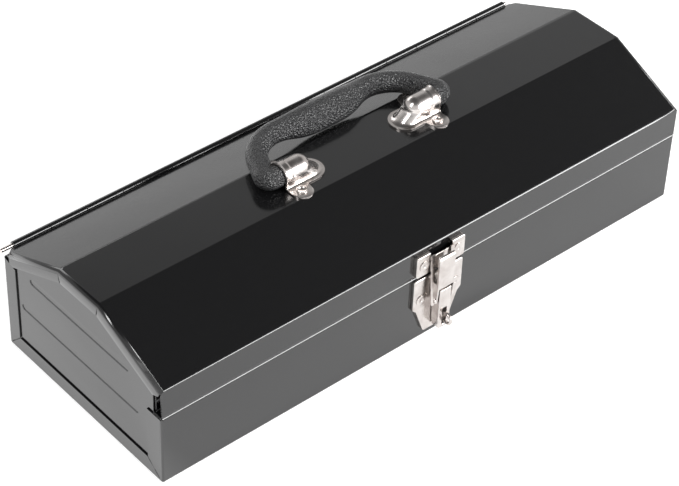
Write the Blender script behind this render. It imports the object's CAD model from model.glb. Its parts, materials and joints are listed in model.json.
import bmesh
import bpy
import json
from math import cos, exp, pi, radians, sin, sqrt, tan
from mathutils import Matrix, Vector


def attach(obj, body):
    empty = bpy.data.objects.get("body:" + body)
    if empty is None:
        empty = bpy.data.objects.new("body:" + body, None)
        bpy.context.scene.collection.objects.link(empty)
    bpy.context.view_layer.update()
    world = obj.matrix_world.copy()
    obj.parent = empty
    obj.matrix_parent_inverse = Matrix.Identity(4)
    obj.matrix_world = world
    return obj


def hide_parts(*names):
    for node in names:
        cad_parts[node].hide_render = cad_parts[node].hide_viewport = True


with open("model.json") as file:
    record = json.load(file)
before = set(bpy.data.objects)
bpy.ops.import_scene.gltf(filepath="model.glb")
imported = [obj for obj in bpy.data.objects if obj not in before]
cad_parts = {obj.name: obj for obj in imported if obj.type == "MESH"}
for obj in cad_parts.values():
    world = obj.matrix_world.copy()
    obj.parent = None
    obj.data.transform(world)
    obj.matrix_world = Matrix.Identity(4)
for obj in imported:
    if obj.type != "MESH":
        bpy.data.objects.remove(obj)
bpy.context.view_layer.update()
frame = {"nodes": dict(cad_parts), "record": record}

nodes = frame["nodes"]

# Camera: it looks down at the left front corner, as the photograph does. Its lens,
# bearing, height and roll were worked out from the straight edges of the box.
turn, lift, roll = radians(-42.10), radians(40.71), radians(2.33)
look = Vector((-sin(turn) * cos(lift), cos(turn) * cos(lift), -sin(lift)))
level = look.cross(Vector((0, 0, 1))).normalized()
above = level.cross(look)
right = cos(roll) * level + sin(roll) * above
up = cos(roll) * above - sin(roll) * level
across, down, away = 0.00722, 0.01391, 1.46384
camera = bpy.data.objects.new("photo_camera", bpy.data.cameras.new("photo_camera"))
facing = Matrix((right, up, -look)).transposed().to_4x4()
camera.matrix_world = Matrix.Translation(up * down - right * across - look * away) @ facing
camera.data.sensor_width = 36.0
camera.data.lens = 125.35
camera.data.clip_end = 50.0
bpy.context.collection.objects.link(camera)
bpy.context.scene.camera = camera
bpy.context.scene.view_settings.view_transform = "Standard"

# Studio: a white sweep that stays white in mirrors but still takes the box's soft shadow,
# brighter in mirrors to the left of the box, and a sky that is pale at the horizon and dark
# overhead, a little darker behind than in front.


def add_node(tree, kind, **values):
    """A node in a node tree; values set its properties, or else its inputs."""
    node = tree.nodes.new(kind)
    for key, value in values.items():
        if hasattr(node, key):
            setattr(node, key, value)
        else:
            node.inputs[key.replace("_", " ")].default_value = value
    return node


floor_reach = 4.0
floor_corners = ((-1, -1), (1, -1), (1, 1), (-1, 1))
floor_mesh = bpy.data.meshes.new("floor")
floor_ring = [(x * floor_reach, y * floor_reach, 0) for x, y in floor_corners]
floor_mesh.from_pydata(floor_ring, [], [(0, 1, 2, 3)])
floor = bpy.data.objects.new("floor", floor_mesh)
bpy.context.collection.objects.link(floor)
white_sweep = bpy.data.materials.new("white_sweep")
white_sweep.use_nodes = True
tree = white_sweep.node_tree
tree.nodes.clear()
seen_glow, mirrored_glow, left_glow = 0.45, 0.36, 0.66
left_from, left_to = -0.18, -0.21
paper = add_node(tree, "ShaderNodeBsdfDiffuse", Color=(0.85, 0.85, 0.85, 1))
glow = add_node(tree, "ShaderNodeEmission", Color=(1, 1, 1, 1))
path = add_node(tree, "ShaderNodeLightPath")
gloss_or_through = add_node(tree, "ShaderNodeMath", operation="MAXIMUM")
mirrored = add_node(tree, "ShaderNodeMath", operation="MULTIPLY")
floor_point = add_node(tree, "ShaderNodeTexCoord")
floor_axes = add_node(tree, "ShaderNodeSeparateXYZ")
to_the_left = add_node(tree, "ShaderNodeMapRange", From_Min=left_from, From_Max=left_to)
to_the_left.inputs["To Min"].default_value = mirrored_glow
to_the_left.inputs["To Max"].default_value = mirrored_glow + left_glow
tree.links.new(floor_point.outputs["Object"], floor_axes.inputs[0])
tree.links.new(floor_axes.outputs["X"], to_the_left.inputs["Value"])
tree.links.new(to_the_left.outputs[0], mirrored.inputs[1])
seen = add_node(tree, "ShaderNodeMath", operation="MULTIPLY_ADD")
seen.inputs[1].default_value = seen_glow
paper_and_glow = add_node(tree, "ShaderNodeAddShader")
output = add_node(tree, "ShaderNodeOutputMaterial")
tree.links.new(path.outputs["Is Glossy Ray"], gloss_or_through.inputs[0])
tree.links.new(path.outputs["Is Transmission Ray"], gloss_or_through.inputs[1])
tree.links.new(gloss_or_through.outputs[0], mirrored.inputs[0])
tree.links.new(path.outputs["Is Camera Ray"], seen.inputs[0])
tree.links.new(mirrored.outputs[0], seen.inputs[2])
tree.links.new(seen.outputs[0], glow.inputs["Strength"])
tree.links.new(paper.outputs[0], paper_and_glow.inputs[0])
tree.links.new(glow.outputs[0], paper_and_glow.inputs[1])
tree.links.new(paper_and_glow.outputs[0], output.inputs["Surface"])
floor.data.materials.append(white_sweep)

studio = bpy.data.worlds.new("studio")
studio.use_nodes = True
bpy.context.scene.world = studio
tree = studio.node_tree
tree.nodes.clear()
direction = add_node(tree, "ShaderNodeTexCoord")
split = add_node(tree, "ShaderNodeSeparateXYZ")
sky = add_node(tree, "ShaderNodeValToRGB")
front_strength, back_strength = 1.45, 1.15
front_to_back = add_node(tree, "ShaderNodeMapRange", From_Min=-0.9, From_Max=0.9)
front_to_back.inputs["To Min"].default_value = front_strength
front_to_back.inputs["To Max"].default_value = back_strength
sky_light = add_node(tree, "ShaderNodeBackground")
output = add_node(tree, "ShaderNodeOutputWorld")
# Height of a place in the sky, as the sine of its angle, and its grey
sky_greys = ((0.0, 0.60), (0.12, 0.62), (0.6, 0.58), (0.76, 0.14), (1.0, 0.07))
for _ in range(len(sky_greys) - len(sky.color_ramp.elements)):
    sky.color_ramp.elements.new(0.5)
for element, (height, grey) in zip(sky.color_ramp.elements, sky_greys):
    element.position = height
    element.color = (grey, grey, grey, 1)
tree.links.new(direction.outputs["Generated"], split.inputs[0])
tree.links.new(split.outputs["Z"], sky.inputs[0])
tree.links.new(split.outputs["Y"], front_to_back.inputs["Value"])
tree.links.new(sky.outputs[0], sky_light.inputs["Color"])
tree.links.new(front_to_back.outputs[0], sky_light.inputs["Strength"])
tree.links.new(sky_light.outputs[0], output.inputs["Surface"])

# Name, place, width and height in metres, and watts of each lamp
soft_boxes = (
    ("front_box", (0.98, -1.62, 0.70), (1.5, 0.9), 75.0),
    ("left_box", (-1.29, -0.12, 1.32), (0.35, 0.95), 15.0),
    ("back_box", (0.2, 1.9, 1.1), (1.4, 0.5), 6.0),
)
box_middle = Vector((0, 0, 0.05))
for name, place, (wide, tall), power in soft_boxes:
    lamp = bpy.data.objects.new(name, bpy.data.lights.new(name, "AREA"))
    lamp.data.shape = "RECTANGLE"
    lamp.data.size = wide
    lamp.data.size_y = tall
    lamp.data.energy = power
    aim = (box_middle - Vector(place)).to_track_quat("-Z", "Y")
    lamp.matrix_world = Matrix.Translation(place) @ aim.to_matrix().to_4x4()
    bpy.context.collection.objects.link(lamp)

# Base shell: one steel sheet folded up round the front, bottom and back, with flanges
# folded round both ends. It is dipped in black enamel, which leaves no edge quite sharp.


def loose_copy(node_name):
    """Closed copy of a CAD node, its loose triangles joined."""
    same_point = 2e-6
    mesh = nodes[node_name].data.copy()
    mesh.name = node_name + "_made"
    mesh.materials.clear()
    form = bmesh.new()
    form.from_mesh(mesh)
    bmesh.ops.remove_doubles(form, verts=form.verts, dist=same_point)
    form.to_mesh(mesh)
    form.free()
    piece = bpy.data.objects.new(mesh.name, mesh)
    bpy.context.collection.objects.link(piece)
    return piece


def ease_edges(piece, edge_radius=0.0, fold_radius=0.0):
    """Round a sheet metal piece: cut edges get edge_radius, long folds fold_radius.

    A fold is a long edge between two large faces. Bends that are rounded
    already keep their faces and are only shaded smooth.
    """
    large_face, long_edge = 4e-5, 0.05
    flat, fold_from, fold_to, cut_from = (radians(angle) for angle in (0.6, 15, 75, 50))
    form = bmesh.new()
    form.from_mesh(piece.data)
    bmesh.ops.dissolve_limit(form, angle_limit=flat, verts=form.verts, edges=form.edges)
    for face in form.faces:
        face.smooth = True
    weight = form.edges.layers.float.new("bevel_weight_edge")
    folds = []
    for edge in form.edges:
        if len(edge.link_faces) != 2:
            continue
        fold = edge.calc_face_angle(0)
        both_large = min(face.calc_area() for face in edge.link_faces) > large_face
        if fold_from < fold < fold_to and both_large and edge.calc_length() > long_edge:
            folds.append(edge)
        elif fold > cut_from:
            edge[weight] = 1.0
    if fold_radius and folds:
        bmesh.ops.bevel(
            form, geom=folds, offset=fold_radius, offset_type="OFFSET", segments=5,
            profile=0.5, affect="EDGES", clamp_overlap=False)
        for face in form.faces:
            face.smooth = True
    form.to_mesh(piece.data)
    form.free()
    if edge_radius:
        easing = piece.modifiers.new("eased edges", "BEVEL")
        easing.limit_method = "WEIGHT"
        easing.width = edge_radius
        easing.segments = 3
        easing.use_clamp_overlap = False
    shading = piece.modifiers.new("flat faces stay flat", "WEIGHTED_NORMAL")
    shading.weight = 100
    make_plain(piece)


def make_plain(piece):
    """Turn a piece with modifiers into a plain mesh."""
    plain = bpy.data.meshes.new_from_object(
        piece.evaluated_get(bpy.context.evaluated_depsgraph_get()))
    plain.name = piece.name
    piece.modifiers.clear()
    piece.data = plain


def fit_piece(piece, body, slot, finish, *node_names):
    """Give a finished piece its finish and body, in place of its CAD nodes."""
    piece.data.materials.clear()
    piece.data.materials.append(finish)
    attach(piece, body)
    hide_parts(*node_names)


black_enamel = bpy.data.materials.new("black_enamel")
black_enamel.use_nodes = True
tree = black_enamel.node_tree
tree.nodes.clear()
where = add_node(tree, "ShaderNodeTexCoord")
peel = add_node(tree, "ShaderNodeTexNoise", Scale=900.0, Detail=2.0)
wave = add_node(tree, "ShaderNodeTexNoise", Scale=14.0, Detail=1.0)
dust = add_node(tree, "ShaderNodeTexNoise", Scale=160.0, Detail=6.0, Roughness=0.7)
haze = add_node(tree, "ShaderNodeMapRange", To_Min=0.08, To_Max=0.20)
peel_bump = add_node(tree, "ShaderNodeBump", Strength=0.03, Distance=0.0004)
wave_bump = add_node(tree, "ShaderNodeBump", Strength=0.10, Distance=0.002)
dulled_edge = add_node(tree, "ShaderNodeBevel", samples=6, Radius=0.0003)
enamel = add_node(tree, "ShaderNodeBsdfPrincipled", IOR=1.58)
enamel.inputs["Base Color"].default_value = (0.0040, 0.0040, 0.0043, 1)
output = add_node(tree, "ShaderNodeOutputMaterial")
for texture in (peel, wave, dust):
    tree.links.new(where.outputs["Object"], texture.inputs["Vector"])
tree.links.new(wave.outputs["Fac"], wave_bump.inputs["Height"])
tree.links.new(dulled_edge.outputs[0], wave_bump.inputs["Normal"])
tree.links.new(peel.outputs["Fac"], peel_bump.inputs["Height"])
tree.links.new(wave_bump.outputs[0], peel_bump.inputs["Normal"])
tree.links.new(dust.outputs["Fac"], haze.inputs["Value"])
tree.links.new(haze.outputs[0], enamel.inputs["Roughness"])
tree.links.new(peel_bump.outputs[0], enamel.inputs["Normal"])
tree.links.new(enamel.outputs[0], output.inputs["Surface"])

base_shell = loose_copy("base_shell")
# The shoulder under the lid's lip is folded tighter than the corners at the floor
bend_y, bend_z, bend_top, bend_end = -0.0727, 0.0486, 0.0503, 0.2005
slack, tighter, least_radius = 1e-5, 0.0015, 5e-5
for vertex in base_shell.data.vertices:
    x, y, z = vertex.co
    if y < bend_y + slack and bend_z - slack < z < bend_top and abs(x) < bend_end:
        out, rise = y - bend_y, z - bend_z
        radius = max(sqrt(out * out + rise * rise), 1e-6)
        kept = max(radius - tighter, least_radius)
        vertex.co.y = bend_y - tighter + out / radius * kept
        vertex.co.z = bend_z + tighter + rise / radius * kept
ease_edges(base_shell, edge_radius=0.0002)
fit_piece(base_shell, "base", "black_paint", black_enamel, "base_shell")

# End panels: one steel sheet closes each end, stiffened by two pressed beads. It is
# welded behind the base shell's flanges, and its top follows the slopes of the lid.
for node_name in ("end_panel_left", "end_panel_right"):
    panel = loose_copy(node_name)
    ease_edges(panel, edge_radius=0.0002)
    fit_piece(panel, "base", "black_paint", black_enamel, node_name)

# Lid: one steel sheet folded into a hipped roof, in the same enamel. Its ends fold down
# over the end panels and its front as a lip, whose lower edge stands a little proud.
lid = loose_copy("lid_shell")
lip_face, lip_inside = -0.0742, -0.0730
hem_rise, hem_flare = 0.0011, 0.0002
hem_form = bmesh.new()
hem_form.from_mesh(lid.data)
lip_bottom = min(v.co.z for v in hem_form.verts if v.co.y < lip_face)
bmesh.ops.bisect_plane(
    hem_form, geom=hem_form.verts[:] + hem_form.edges[:] + hem_form.faces[:],
    plane_co=(0, 0, lip_bottom + hem_rise), plane_no=(0, 0, 1))
for vertex in hem_form.verts:
    if vertex.co.z < lip_bottom + hem_rise / 2 and vertex.co.y < lip_inside:
        vertex.co.y -= hem_flare
hem_form.to_mesh(lid.data)
hem_form.free()
ease_edges(lid, fold_radius=0.0016)
fit_piece(lid, "lid", "black_paint", black_enamel, "lid_shell")

# Handle brackets: pressed from nickel plated steel sheet. A dome holds the handle's stub,
# its nose slopes down to the foot, and an ear on each side is riveted to the lid.
nickel_plate = bpy.data.materials.new("nickel_plate")
nickel_plate.use_nodes = True
tree = nickel_plate.node_tree
tree.nodes.clear()
where = add_node(tree, "ShaderNodeTexCoord")
cloud = add_node(tree, "ShaderNodeTexNoise", Scale=120.0, Detail=5.0, Roughness=0.6)
marks = add_node(tree, "ShaderNodeTexNoise", Scale=1600.0, Detail=2.0)
polish = add_node(tree, "ShaderNodeMapRange", To_Min=0.16, To_Max=0.30)
tint = add_node(tree, "ShaderNodeValToRGB")
tint.color_ramp.elements[0].position = 0.35
tint.color_ramp.elements[0].color = (0.48, 0.44, 0.42, 1)
tint.color_ramp.elements[1].position = 0.7
tint.color_ramp.elements[1].color = (0.64, 0.61, 0.59, 1)
mark_bump = add_node(tree, "ShaderNodeBump", Strength=0.08, Distance=0.0002)
plate = add_node(tree, "ShaderNodeBsdfPrincipled", Metallic=1.0)
output = add_node(tree, "ShaderNodeOutputMaterial")
for texture in (cloud, marks):
    tree.links.new(where.outputs["Object"], texture.inputs["Vector"])
tree.links.new(cloud.outputs["Fac"], polish.inputs["Value"])
tree.links.new(cloud.outputs["Fac"], tint.inputs[0])
tree.links.new(polish.outputs[0], plate.inputs["Roughness"])
tree.links.new(tint.outputs[0], plate.inputs["Base Color"])
tree.links.new(marks.outputs["Fac"], mark_bump.inputs["Height"])
tree.links.new(mark_bump.outputs[0], plate.inputs["Normal"])
tree.links.new(plate.outputs[0], output.inputs["Surface"])

bracket_sheet = 0.0012
lid_top = 0.09485
foot_top = lid_top + bracket_sheet
stub_axis_z = 0.1023
mouth_x, dome_end_x, nose_foot_x = 0.0600, 0.0456, 0.0381
dome_radius = 0.0071
foot_fillet = 0.0014
collar_start, collar_rise = 0.0550, 0.00035
lip_start, lip_rise = 0.0589, 0.00050
foot_radius, ear_radius, neck_softness = 0.0102, 0.0069, 0.0022
ear_x, ear_y = 0.0532, 0.0132


def ramp(value, low, high):
    """Smooth step from 0 at low to 1 at high."""
    share = min(max((value - low) / (high - low), 0.0), 1.0)
    return share * share * (3 - 2 * share)


def foot_distance(x, y):
    """How far a point of the lid lies outside the bracket's foot, softened at the necks."""
    foot = sqrt(min(x - nose_foot_x, 0) ** 2 + y * y) - foot_radius
    ear = sqrt((x - ear_x) ** 2 + (abs(y) - ear_y) ** 2) - ear_radius
    mix = max(neck_softness - abs(foot - ear), 0) / neck_softness
    return min(foot, ear) - mix * mix * neck_softness / 4


def dome_levels():
    """Height, half width and slope of each level of the dome's outside, foot first."""
    fillet_steps, wall_steps, crown_steps = 4, 5, 12
    levels = []
    for step in range(fillet_steps + 1):
        angle = radians(90 * step / fillet_steps)
        levels.append((
            foot_top + foot_fillet * (1 - cos(angle)),
            dome_radius + foot_fillet * (1 - sin(angle)),
            0.0))
    wall_start = foot_top + foot_fillet
    for step in range(1, wall_steps + 1):
        levels.append((
            wall_start + (stub_axis_z - wall_start) * step / wall_steps, dome_radius, 0.0))
    for step in range(1, crown_steps + 1):
        angle = radians(90 * step / crown_steps)
        levels.append((
            stub_axis_z + dome_radius * sin(angle), dome_radius * cos(angle), angle))
    return levels


# Each level is a line round the dome: one side from the mouth, the nose, the other side.
# Its points stand closer together where the collar and the lip at the mouth swell out.
collar_xs = [0.0600, 0.05985, 0.0596, 0.0593, 0.0590, 0.0586, 0.0578, 0.0568, 0.0558, 0.0553,
             0.0550, 0.0546, 0.0540]
side_steps, nose_steps, foot_steps = 16, 24, 4
collar_step, collar_fade_from, collar_fade_to = 0.0002, 0.004, 0.001
bracket_form = bmesh.new()
rows = []
for height, half_width, angle in dome_levels():
    share = min((height - foot_top) / (stub_axis_z - foot_top), 1.0)
    nose_x = nose_foot_x + share * (dome_end_x - nose_foot_x)
    run = collar_xs + [collar_xs[-1] + (nose_x - collar_xs[-1]) * i / side_steps
                       for i in range(1, side_steps + 1)]
    side = [(x, half_width, x) for x in run]
    nose = []
    for step in range(1, nose_steps):
        bearing = radians(180 * step / nose_steps)
        nose.append((nose_x - half_width * sin(bearing), half_width * cos(bearing), nose_x))
    outline = side + nose + [(x, -y, x) for x, y, _ in reversed(side)]
    fade = ramp(height, stub_axis_z - collar_fade_from, stub_axis_z + collar_fade_to)
    row = []
    for x, y, at in outline:
        collar = ramp(at, collar_start - collar_step, collar_start + collar_step)
        swell = collar_rise * collar * fade + lip_rise * ramp(at, lip_start, mouth_x)
        facing_side = 1 if y > 0 else -1
        row.append(bracket_form.verts.new((
            x, y + facing_side * swell * cos(angle), height + swell * sin(angle))))
    rows.append(row)
# The foot spreads from the lowest level out to its edge
foot_rows = [rows[0]]
starts = [Vector((v.co.x, v.co.y)) for v in rows[0]]
stride, furthest, halvings = 0.0002, 0.02, 12
for index, start in enumerate(starts):
    along = starts[min(index + 1, len(starts) - 1)] - starts[max(index - 1, 0)]
    outward = Vector((along.y, -along.x)).normalized()
    if abs(start.y) > dome_radius + foot_fillet - 1e-6 and start.x > nose_foot_x:
        outward = Vector((0, 1 if start.y > 0 else -1))
    reach = 0.0
    while foot_distance(*(start + outward * reach)) < 0 and reach < furthest:
        reach += stride
    low, high = reach - stride, reach
    for _ in range(halvings):
        middle = (low + high) / 2
        if foot_distance(*(start + outward * middle)) < 0:
            low = middle
        else:
            high = middle
    for step in range(1, foot_steps + 1):
        if len(foot_rows) <= step:
            foot_rows.append([])
        place = start + outward * low * step / foot_steps
        foot_rows[step].append(bracket_form.verts.new((place.x, place.y, foot_top)))
for upper, lower in list(zip(rows[1:], rows)) + list(zip(foot_rows, foot_rows[1:])):
    for i in range(len(lower) - 1):
        bracket_form.faces.new((lower[i], lower[i + 1], upper[i + 1], upper[i]))
bmesh.ops.remove_doubles(bracket_form, verts=bracket_form.verts, dist=2e-5)
bmesh.ops.recalc_face_normals(bracket_form, faces=bracket_form.faces)
if sum(face.normal.z * face.calc_area() for face in bracket_form.faces) < 0:
    bmesh.ops.reverse_faces(bracket_form, faces=bracket_form.faces)
for side_name, side in (("right", 1), ("left", -1)):
    pressed = bracket_form.copy()
    if side < 0:
        bmesh.ops.scale(pressed, vec=(-1, 1, 1), verts=pressed.verts)
        bmesh.ops.reverse_faces(pressed, faces=pressed.faces)
    mesh = bpy.data.meshes.new("bracket_" + side_name)
    pressed.to_mesh(mesh)
    pressed.free()
    bracket = bpy.data.objects.new("bracket_" + side_name, mesh)
    bpy.context.collection.objects.link(bracket)
    wall = bracket.modifiers.new("sheet", "SOLIDIFY")
    wall.thickness = bracket_sheet
    wall.offset = -1
    rim = bracket.modifiers.new("worn rim", "BEVEL")
    rim.limit_method = "ANGLE"
    rim.angle_limit = radians(55)
    rim.width = 0.00035
    rim.segments = 3
    for face in mesh.polygons:
        face.use_smooth = True
    make_plain(bracket)
    fit_piece(bracket, "lid", "nickel_plate", nickel_plate, "handle_bracket_" + side_name)
bracket_form.free()

# Rivets: nickel plated steel. Hollow rivets hold the bracket ears, and flat ones the
# keeper and the base plate. Each has a head outside, a shank through the sheets and a
# clinched tail inside.


def rivet_tree():
    """Geometry nodes that set one rivet at each point, along its own Z, head outside."""
    group = bpy.data.node_groups.new("rivets", "GeometryNodeTree")
    face = group.interface
    face.new_socket("Places", in_out="INPUT", socket_type="NodeSocketGeometry")
    for name in ("Head Radius", "Head Height", "Hollow Radius", "Hollow Depth",
                 "Shank Radius", "Grip", "Tail Height"):
        face.new_socket(name, in_out="INPUT", socket_type="NodeSocketFloat")
    face.new_socket("Turn", in_out="INPUT", socket_type="NodeSocketVector")
    face.new_socket("Finish", in_out="INPUT", socket_type="NodeSocketMaterial")
    face.new_socket("Rivets", in_out="OUTPUT", socket_type="NodeSocketGeometry")
    given = group.nodes.new("NodeGroupInput")
    made = group.nodes.new("NodeGroupOutput")
    link = group.links.new

    def times(socket, factor):
        node = add_node(group, "ShaderNodeMath", operation="MULTIPLY")
        node.inputs[1].default_value = factor
        link(socket, node.inputs[0])
        return node.outputs[0]

    def upright(height):
        node = add_node(group, "ShaderNodeCombineXYZ")
        link(height, node.inputs["Z"])
        return node.outputs[0]

    def turned(radius, depth):
        node = add_node(group, "GeometryNodeMeshCylinder", Vertices=36)
        link(radius, node.inputs["Radius"])
        link(depth, node.inputs["Depth"])
        return node

    def placed(mesh, height):
        node = add_node(group, "GeometryNodeTransform")
        link(mesh, node.inputs["Geometry"])
        link(upright(height), node.inputs["Translation"])
        return node.outputs[0]

    head = turned(given.outputs["Head Radius"], given.outputs["Head Height"])
    ring = add_node(group, "GeometryNodeExtrudeMesh", mode="FACES")
    ring.inputs["Offset Scale"].default_value = 0.0
    link(head.outputs["Mesh"], ring.inputs["Mesh"])
    link(head.outputs["Top"], ring.inputs["Selection"])
    share = add_node(group, "ShaderNodeMath", operation="DIVIDE")
    link(given.outputs["Hollow Radius"], share.inputs[0])
    link(given.outputs["Head Radius"], share.inputs[1])
    narrowed = add_node(group, "GeometryNodeScaleElements", domain="FACE")
    link(ring.outputs["Mesh"], narrowed.inputs["Geometry"])
    link(ring.outputs["Top"], narrowed.inputs["Selection"])
    link(share.outputs[0], narrowed.inputs["Scale"])
    hollow = add_node(group, "GeometryNodeExtrudeMesh", mode="FACES")
    link(narrowed.outputs["Geometry"], hollow.inputs["Mesh"])
    link(ring.outputs["Top"], hollow.inputs["Selection"])
    link(times(given.outputs["Hollow Depth"], -1.0), hollow.inputs["Offset Scale"])
    tail_spread = 1.35
    shank = turned(given.outputs["Shank Radius"], given.outputs["Grip"])
    tail = turned(
        times(given.outputs["Shank Radius"], tail_spread), given.outputs["Tail Height"])
    tail_middle = add_node(group, "ShaderNodeMath", operation="ADD")
    link(times(given.outputs["Tail Height"], -0.5), tail_middle.inputs[0])
    link(times(given.outputs["Grip"], -1.0), tail_middle.inputs[1])
    rivet = add_node(group, "GeometryNodeJoinGeometry")
    half_head = times(given.outputs["Head Height"], 0.5)
    link(placed(hollow.outputs["Mesh"], half_head), rivet.inputs[0])
    link(placed(shank.outputs["Mesh"], times(given.outputs["Grip"], -0.5)), rivet.inputs[0])
    link(placed(tail.outputs["Mesh"], tail_middle.outputs[0]), rivet.inputs[0])
    turned_way = add_node(group, "FunctionNodeEulerToRotation")
    link(given.outputs["Turn"], turned_way.inputs[0])
    set_in = add_node(group, "GeometryNodeInstanceOnPoints")
    link(given.outputs["Places"], set_in.inputs["Points"])
    link(rivet.outputs[0], set_in.inputs["Instance"])
    link(turned_way.outputs[0], set_in.inputs["Rotation"])
    real = add_node(group, "GeometryNodeRealizeInstances")
    link(set_in.outputs[0], real.inputs[0])
    finish = add_node(group, "GeometryNodeSetMaterial")
    link(real.outputs[0], finish.inputs["Geometry"])
    link(given.outputs["Finish"], finish.inputs["Material"])
    link(finish.outputs[0], made.inputs[0])
    return group


def set_rivets(name, places, sizes, turn, edge, body, *node_names):
    """Rivets at the given places, as one plain mesh on one body."""
    mesh = bpy.data.meshes.new(name)
    mesh.from_pydata(places, [], [])
    rivets = bpy.data.objects.new(name, mesh)
    bpy.context.collection.objects.link(rivets)
    setting = rivets.modifiers.new("rivets", "NODES")
    setting.node_group = riveting
    values = dict(sizes, Turn=turn, Finish=nickel_plate)
    for socket in riveting.interface.items_tree:
        if socket.in_out == "INPUT" and socket.name in values:
            setting[socket.identifier] = values[socket.name]
    worn = rivets.modifiers.new("turned edges", "BEVEL")
    worn.limit_method = "ANGLE"
    worn.angle_limit = radians(40)
    worn.width = edge
    worn.segments = 3
    make_plain(rivets)
    for face in rivets.data.polygons:
        face.use_smooth = True
    fit_piece(rivets, body, "nickel_plate", nickel_plate, *node_names)


riveting = rivet_tree()
lid_sheet = 0.0009
facing_up, facing_front = (0.0, 0.0, 0.0), (radians(90), 0.0, 0.0)
hollow_rivet = {
    "Head Radius": 0.0035, "Head Height": 0.0009, "Hollow Radius": 0.0023,
    "Hollow Depth": 0.0008, "Shank Radius": 0.0018, "Grip": bracket_sheet + lid_sheet,
    "Tail Height": 0.0008}
ear_places = [(x, y, foot_top) for x in (-ear_x, ear_x) for y in (-ear_y, ear_y)]
set_rivets(
    "bracket_rivets", ear_places, hollow_rivet, facing_up, 0.0004, "lid",
    "bracket_rivets_left", "bracket_rivets_right")
keeper_rivet_x, keeper_face, keeper_rivet_z = 0.0133, -0.0776, 0.0600
plate_rivet_x, plate_face, plate_rivet_z = 0.0136, -0.0768, 0.0330
flat_rivet = {
    "Head Radius": 0.0036, "Head Height": 0.0005, "Hollow Radius": 0.0010,
    "Hollow Depth": 0.0002, "Shank Radius": 0.0018, "Grip": 0.0040, "Tail Height": 0.0008}
set_rivets(
    "keeper_rivets", [(side * keeper_rivet_x, keeper_face, keeper_rivet_z) for side in (-1, 1)],
    flat_rivet, facing_front, 0.0002, "lid", "keeper_rivets")
set_rivets(
    "plate_rivets", [(side * plate_rivet_x, plate_face, plate_rivet_z) for side in (-1, 1)],
    flat_rivet, facing_front, 0.0002, "base", "latch_plate_rivets")

# Carrying handle: moulded in one piece from black plastic with a pebbled leather grain.
# Its stubs turn in the brackets, and it lies back just above the rear slope of the lid.
grained_plastic = bpy.data.materials.new("grained_plastic")
grained_plastic.use_nodes = True
tree = grained_plastic.node_tree
tree.nodes.clear()
where = add_node(tree, "ShaderNodeTexCoord")
pebbles = add_node(tree, "ShaderNodeTexVoronoi", Scale=840.0, feature="F1")
creases = add_node(tree, "ShaderNodeTexNoise", Scale=900.0, Detail=3.0, Roughness=0.6)
both = add_node(tree, "ShaderNodeMath", operation="MULTIPLY_ADD")
both.inputs[1].default_value = 0.6
grain_bump = add_node(tree, "ShaderNodeBump", Strength=1.0, Distance=0.0009)
rub = add_node(tree, "ShaderNodeMapRange", To_Min=0.20, To_Max=0.38)
plastic = add_node(tree, "ShaderNodeBsdfPrincipled", IOR=1.52)
plastic.inputs["Base Color"].default_value = (0.017, 0.017, 0.018, 1)
output = add_node(tree, "ShaderNodeOutputMaterial")
for texture in (pebbles, creases):
    tree.links.new(where.outputs["Object"], texture.inputs["Vector"])
tree.links.new(creases.outputs["Fac"], both.inputs[0])
tree.links.new(pebbles.outputs["Distance"], both.inputs[2])
tree.links.new(both.outputs[0], grain_bump.inputs["Height"])
tree.links.new(creases.outputs["Fac"], rub.inputs["Value"])
tree.links.new(rub.outputs[0], plastic.inputs["Roughness"])
tree.links.new(grain_bump.outputs[0], plastic.inputs["Normal"])
tree.links.new(plastic.outputs[0], output.inputs["Surface"])

# The handle's line runs from one stub round the elbow and up the leg to the grip
lay_back = radians(92.5)
stub_end, stub_radius, leg_radius = 0.0461, 0.0056, 0.00676
elbow_x, elbow_bend, leg_lean = 0.0692, 0.0030, radians(24.7)
grip_reach, grip_bend = 0.0343, 0.0294
grip_swell, swell_reach, belly_shift = 0.0029, 0.0253, 1.14
ring_count, step_length = 72, 0.0006


def bent_line(corners, bends):
    """Points along a line with rounded corners, and each bend's centre and mitre direction."""
    points, middles = [Vector(corners[0])], []
    for index, bend in enumerate(bends, start=1):
        corner = Vector(corners[index])
        heading = (corner - Vector(corners[index - 1])).normalized()
        leaving = (Vector(corners[index + 1]) - corner).normalized()
        swing = heading.angle_signed(leaving)
        run = bend * tan(abs(swing) / 2)
        side = 1 if swing < 0 else -1
        centre = corner - heading * run + Vector((-heading.y, heading.x)) * side * bend
        steps = max(int(abs(swing) * bend / step_length), 12)
        first = corner - heading * run - centre
        for step in range(steps + 1):
            angle = side * abs(swing) * step / steps
            points.append(centre + Matrix.Rotation(angle, 2) @ first)
        middles.append((centre, (heading + leaving).normalized()))
    points.append(Vector(corners[-1]))
    line = []
    for start, end in zip(points, points[1:]):
        count = max(int((end - start).length / step_length), 1)
        line += [start + (end - start) * i / count for i in range(count)]
    return line + [points[-1]], middles


half_line, bends = bent_line(
    ((stub_end, 0), (elbow_x, 0), (elbow_x - grip_reach * tan(leg_lean), grip_reach),
     (0, grip_reach)), (elbow_bend, grip_bend))
elbow_centre, mitre_way = bends[0]
whole_line = half_line + [Vector((-p.x, p.y)) for p in reversed(half_line[:-1])]
collar_gap, collar_reach, elbow_start = 0.0002, 0.0012, 0.004
centres, radii = [], []
for point in whole_line:
    swell = grip_swell * exp(-(abs(point.x) / swell_reach) ** 4) if point.y > grip_reach / 2 else 0
    thickening = ramp(abs(point.x), mouth_x - collar_gap, mouth_x + collar_reach)
    on_stub = point.y < 1e-6 and abs(point.x) < elbow_x - elbow_start
    leg = stub_radius + (leg_radius - stub_radius) * (thickening if on_stub else 1)
    centres.append(Vector((point.x, point.y - belly_shift * swell)))
    radii.append(leg + swell)
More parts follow.
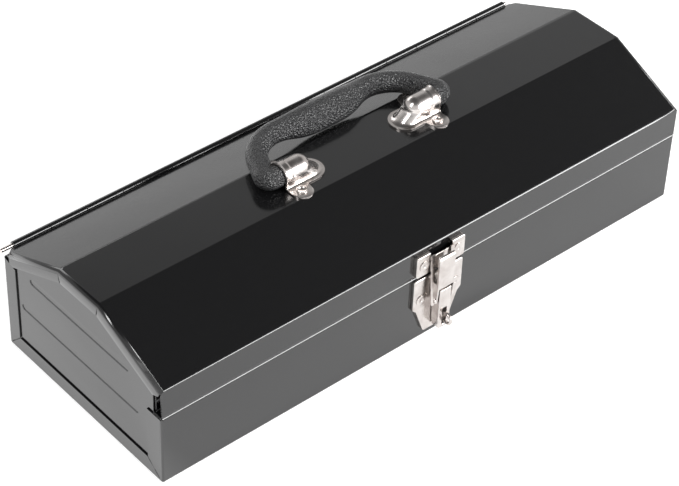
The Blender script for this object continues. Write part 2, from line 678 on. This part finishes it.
# Inside the tight elbow, rings stop at its mitre, so that they don't cross each other
handle_form = bmesh.new()
rings = []
out_y, out_z = sin(lay_back), cos(lay_back)
for index, (centre, radius) in enumerate(zip(centres, radii)):
    before, after = centres[max(index - 1, 0)], centres[min(index + 1, len(centres) - 1)]
    way = (after - before).normalized()
    across_way = Vector((way.y, -way.x))
    mirror = 1 if index < len(centres) / 2 else -1
    ring = []
    for step in range(ring_count):
        angle = 2 * pi * step / ring_count
        flat = centre + across_way * radius * cos(angle)
        from_elbow = Vector((flat.x * mirror, flat.y)) - elbow_centre
        past = from_elbow.dot(mitre_way)
        own_side = (Vector((centre.x * mirror, centre.y)) - elbow_centre).dot(mitre_way)
        if centre.y < grip_reach / 2 and past * own_side < 0:
            flat = flat - Vector((mitre_way.x * mirror, mitre_way.y)) * past
        lift_out = radius * sin(angle)
        ring.append(handle_form.verts.new((
            flat.x,
            flat.y * out_y - lift_out * out_z,
            stub_axis_z + flat.y * out_z + lift_out * out_y)))
    rings.append(ring)
for ring, following in zip(rings, rings[1:]):
    for i in range(ring_count):
        j = (i + 1) % ring_count
        handle_form.faces.new((ring[i], ring[j], following[j], following[i]))
for ring in (rings[0], rings[-1]):
    handle_form.faces.new(ring)
bmesh.ops.recalc_face_normals(handle_form, faces=handle_form.faces)
for face in handle_form.faces:
    face.smooth = True
handle_mesh = bpy.data.meshes.new("grained_handle")
handle_form.to_mesh(handle_mesh)
handle_form.free()
handle = bpy.data.objects.new("grained_handle", handle_mesh)
bpy.context.collection.objects.link(handle)
fit_piece(handle, "handle", "black_plastic", grained_plastic, "carrying_handle")

# Keeper: a shallow pan of nickel plated sheet, riveted on the lid's lip. It is open in the
# middle of its top, where the link hooks over its edge.
plated_edge = 0.0003
keeper = loose_copy("latch_keeper")
ease_edges(keeper, plated_edge)
fit_piece(keeper, "lid", "nickel_plate", nickel_plate, "latch_keeper")

# Base plate and staple: a raised plate of nickel plated sheet, riveted to the front and
# tapered to its foot. The padlock staple stands out of it through the lever's slot.
for node_name in ("latch_base_plate", "padlock_staple"):
    piece = loose_copy(node_name)
    ease_edges(piece, plated_edge)
    fit_piece(piece, "base", "nickel_plate", nickel_plate, node_name)

# Lever: a channel pressed from nickel plated sheet, with a slot for the staple. It turns
# on a pin across the base plate and pulls the link down.
lever = loose_copy("latch_lever")
ease_edges(lever, plated_edge)
fit_piece(lever, "lever", "nickel_plate", nickel_plate, "latch_lever")

# Link: a face pressed from nickel plated sheet, hung on a pin in the lever. It is open
# behind its upper part, and an arm down each side reaches back to the keeper.


def cut_away(piece, low, high):
    """Take a box-shaped part, between two corners, out of a piece."""
    low, high = Vector(low), Vector(high)
    block = bmesh.new()
    bmesh.ops.create_cube(block, size=1.0)
    bmesh.ops.scale(block, vec=high - low, verts=block.verts)
    bmesh.ops.translate(block, vec=(low + high) / 2, verts=block.verts)
    block_mesh = bpy.data.meshes.new("cutter")
    block.to_mesh(block_mesh)
    block.free()
    cutter = bpy.data.objects.new("cutter", block_mesh)
    bpy.context.collection.objects.link(cutter)
    cut = piece.modifiers.new("cut", "BOOLEAN")
    cut.object = cutter
    cut.solver = "EXACT"
    make_plain(piece)
    bpy.data.objects.remove(cutter)


link = loose_copy("latch_link")
cut_away(link, (-0.0068, -0.0817, 0.0445), (0.0068, -0.0740, 0.0750))
ease_edges(link, plated_edge)
arm_inner, arm_outer, arm_sheet = 0.0062, 0.0093, 0.0008
# Ends of an arm's middle line, as distance to the front and height
arm_top, arm_foot = Vector((-0.0787, 0.0657)), Vector((-0.0812, 0.0300))
arm_edge, sharp = 0.0002, radians(60)
middle, half_arm = (arm_inner + arm_outer) / 2, (arm_outer - arm_inner) / 2
foot_steps = 8
arm_form = bmesh.new()
arm_form.from_mesh(link.data)
slope = (arm_top - arm_foot).normalized()
for side in (-1, 1):
    outline = [(middle - half_arm, arm_top), (middle + half_arm, arm_top)]
    for step in range(foot_steps + 1):
        angle = radians(180 * step / foot_steps)
        drop = arm_foot - slope * half_arm * sin(angle)
        outline.append((middle + half_arm * cos(angle), drop))
    fronts = [arm_form.verts.new((side * x, at.x, at.y)) for x, at in outline]
    backs = [arm_form.verts.new((side * x, at.x + arm_sheet, at.y)) for x, at in outline]
    faces = [arm_form.faces.new(fronts), arm_form.faces.new(list(reversed(backs)))]
    count = len(outline)
    for i in range(count):
        j = (i + 1) % count
        faces.append(arm_form.faces.new((fronts[j], fronts[i], backs[i], backs[j])))
    if side > 0:
        bmesh.ops.reverse_faces(arm_form, faces=faces)
    rims = {edge for face in faces for edge in face.edges if edge.calc_face_angle(0) > sharp}
    bmesh.ops.bevel(arm_form, geom=list(rims), offset=arm_edge, segments=2, affect="EDGES")
arm_form.to_mesh(link.data)
arm_form.free()
fit_piece(link, "link", "nickel_plate", nickel_plate, "latch_link")

# Hinge and pins: two leaves curled round one bright steel wire, painted with the box, and
# nickel plated pins in the latch. They keep the shapes that they have in the CAD model.
steel_wire = nickel_plate.copy()
steel_wire.name = "steel_wire"
finishes = {
    "black_paint": black_enamel, "nickel_plate": nickel_plate,
    "steel_wire": steel_wire, "black_plastic": grained_plastic}
for part in frame["record"]["subparts"]:
    node = nodes[part["node"]]
    node.data.materials.clear()
    node.data.materials.append(finishes[part["material_slot"]])
